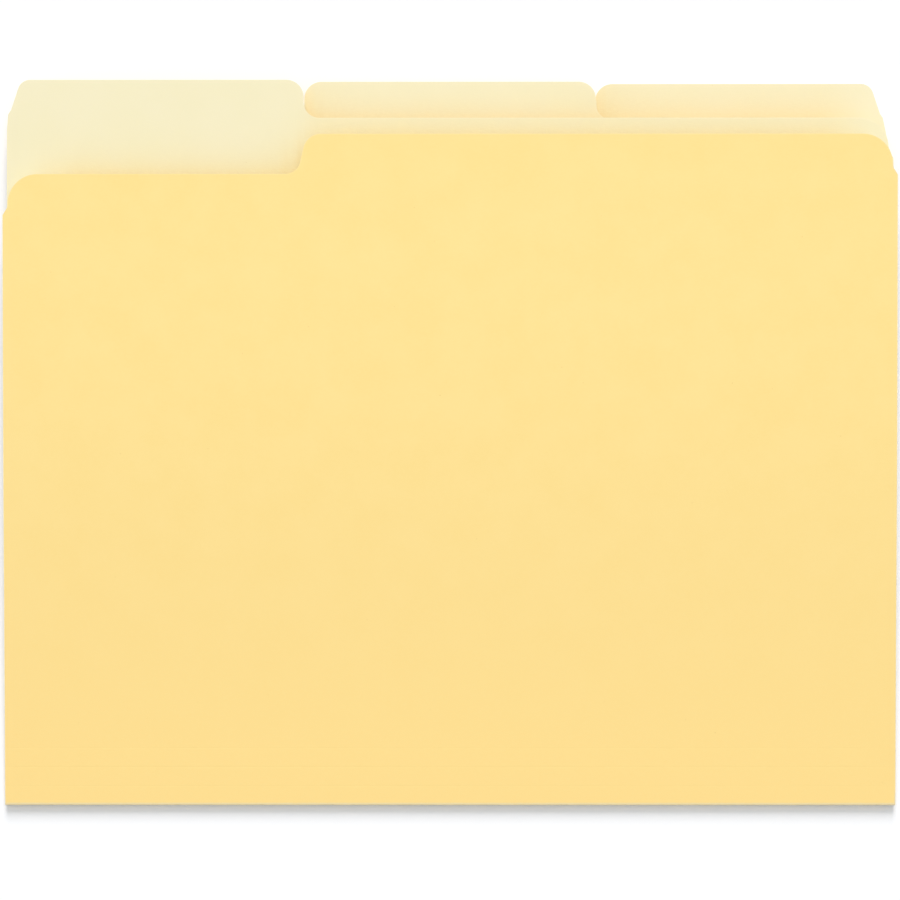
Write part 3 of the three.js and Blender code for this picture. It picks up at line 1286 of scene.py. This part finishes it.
@dataclass(frozen=True)
class MattTable:
    """A table with a matt white laminate top, which shows as plain white and keeps shadows."""

    name: str = "white_laminate_matt"
    colour: str = "f3f4f6"
    roughness: float = 0.9
    # What the camera sees on top of the lit surface, so that the open table is white.
    lift: float = 0.12
    # Length of its sides in metres, and how many millimetres its top lies under the lowest back.
    size: float = 8.0
    gap: float = 0.05

    def add(self) -> None:
        """Puts the table top under the pile."""
        half = self.size / 2
        drop = -self.gap * METRES
        corners = [(x * half, y * half, drop) for x, y in ((-1, -1), (1, -1), (1, 1), (-1, 1))]
        mesh = bpy.data.meshes.new("table_top")
        mesh.from_pydata(corners, [], [(0, 1, 2, 3)])
        mesh.materials.append(self._make())
        add_object("table_top", mesh)

    def _make(self) -> Material:
        """Builds the material.

        Returns:
            A diffuse white that is lifted for camera, glossy and transmission rays.
        """
        material = bpy.data.materials.new(self.name)
        tree = cleared_tree(material)
        seen = seen_by_camera(tree)
        strength = add_node(tree, "Math", {"operation": "MULTIPLY"}, {1: self.lift}, {0: seen})
        laminate = {"Color": linear_colour(self.colour), "Roughness": self.roughness}
        lit = add_node(tree, "BsdfDiffuse", values=laminate)
        lifted = add_node(tree, "Emission", values={"Color": WHITE}, links={"Strength": strength})
        both = add_node(tree, "AddShader", links={0: lit, 1: lifted})
        add_node(tree, "OutputMaterial", links={"Surface": both})
        return material


@dataclass(frozen=True)
class SoftLamp:
    """A rectangular softbox. Sizes are in metres, and its breadth lies along the width."""

    name: str
    place: Place
    breadth: float
    depth: float
    power: float
    colour: str = "fffbf8"

    def add(self) -> None:
        """Hangs the lamp so that it faces the middle of the pile."""
        light = bpy.data.lights.new(self.name, "AREA")
        light.shape = "RECTANGLE"
        light.size = self.breadth
        light.size_y = self.depth
        light.energy = self.power
        light.color = linear_colour(self.colour)[:3]
        lamp = add_object(self.name, light)
        lamp.location = self.place
        lamp.rotation_euler = (-Vector(self.place)).to_track_quat("-Z", "Y").to_euler()


@dataclass(frozen=True)
class WhiteRoom:
    """The room round the table: an even soft light that looks white."""

    strength: float = 0.344
    # Light from the room is a little cooler than the lamps, so shadows are a neutral grey.
    colour: str = "f1faff"

    def add(self) -> None:
        """Makes the room the scene's world."""
        world = bpy.data.worlds.new("white_room")
        tree = cleared_tree(world)
        seen = seen_by_camera(tree)
        strengths = {"To Min": self.strength, "To Max": 1.0}
        strength = add_node(tree, "MapRange", values=strengths, links={"Value": seen})
        colours = {FIRST_COLOUR: linear_colour(self.colour), SECOND_COLOUR: WHITE}
        colour = add_node(tree, "Mix", {"data_type": "RGBA"}, colours, {MIX_SHARE: seen})
        links = {"Color": colour.outputs[MIXED_COLOUR], "Strength": strength}
        room = add_node(tree, "Background", links=links)
        add_node(tree, "OutputWorld", links={"Surface": room})
        bpy.context.scene.world = world


@dataclass(frozen=True)
class PhotographCamera:
    """The camera, which looks almost straight down. Its place is in metres, its angles in degrees."""

    place: Place = (0.0031, -0.0419, 1.0)
    pitch: float = -2.615
    yaw: float = 0.179
    roll: float = 0.006
    lens: float = 119.64
    sensor_width: float = 36.0

    def add(self) -> None:
        """Adds the camera at the photograph's place and angle."""
        data = bpy.data.cameras.new("photograph_view")
        data.sensor_fit = "HORIZONTAL"
        data.sensor_width = self.sensor_width
        data.lens = self.lens
        camera = add_object("photograph_view", data)
        turned = (
            Matrix.Rotation(math.radians(-self.pitch), 4, "X")
            @ Matrix.Rotation(math.radians(self.yaw), 4, "Y")
            @ Matrix.Rotation(math.radians(-self.roll), 4, "Z")
        )
        camera.matrix_world = Matrix.Translation(self.place) @ turned
        bpy.context.scene.camera = camera


@dataclass(frozen=True)
class Studio:
    """Table, surroundings, lamps and camera."""

    table: MattTable = MattTable()
    room: WhiteRoom = WhiteRoom()
    lamps: tuple[SoftLamp, ...] = (
        SoftLamp("window_side_softbox", (0.06, 3.75, 3.1), 1.8, 3.0, 216.0),
        SoftLamp("overhead_softbox", (0.1, 0.7, 4.0), 2.4, 2.4, 38.7),
    )
    camera: PhotographCamera = PhotographCamera()

    def build(self) -> None:
        """Builds the studio round the pile."""
        for item in (self.table, self.room, *self.lamps, self.camera):
            item.add()
        bpy.context.scene.view_settings.view_transform = "Standard"
        LOG.info("studio: table, %d lamps and camera", len(self.lamps))


def main() -> None:
    """Builds the pile and the studio."""
    logging.basicConfig(level=logging.INFO, format="%(message)s")
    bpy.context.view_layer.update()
    Pile().build()
    Studio().build()
    bpy.context.view_layer.update()


if __name__ == "__main__":
    main()
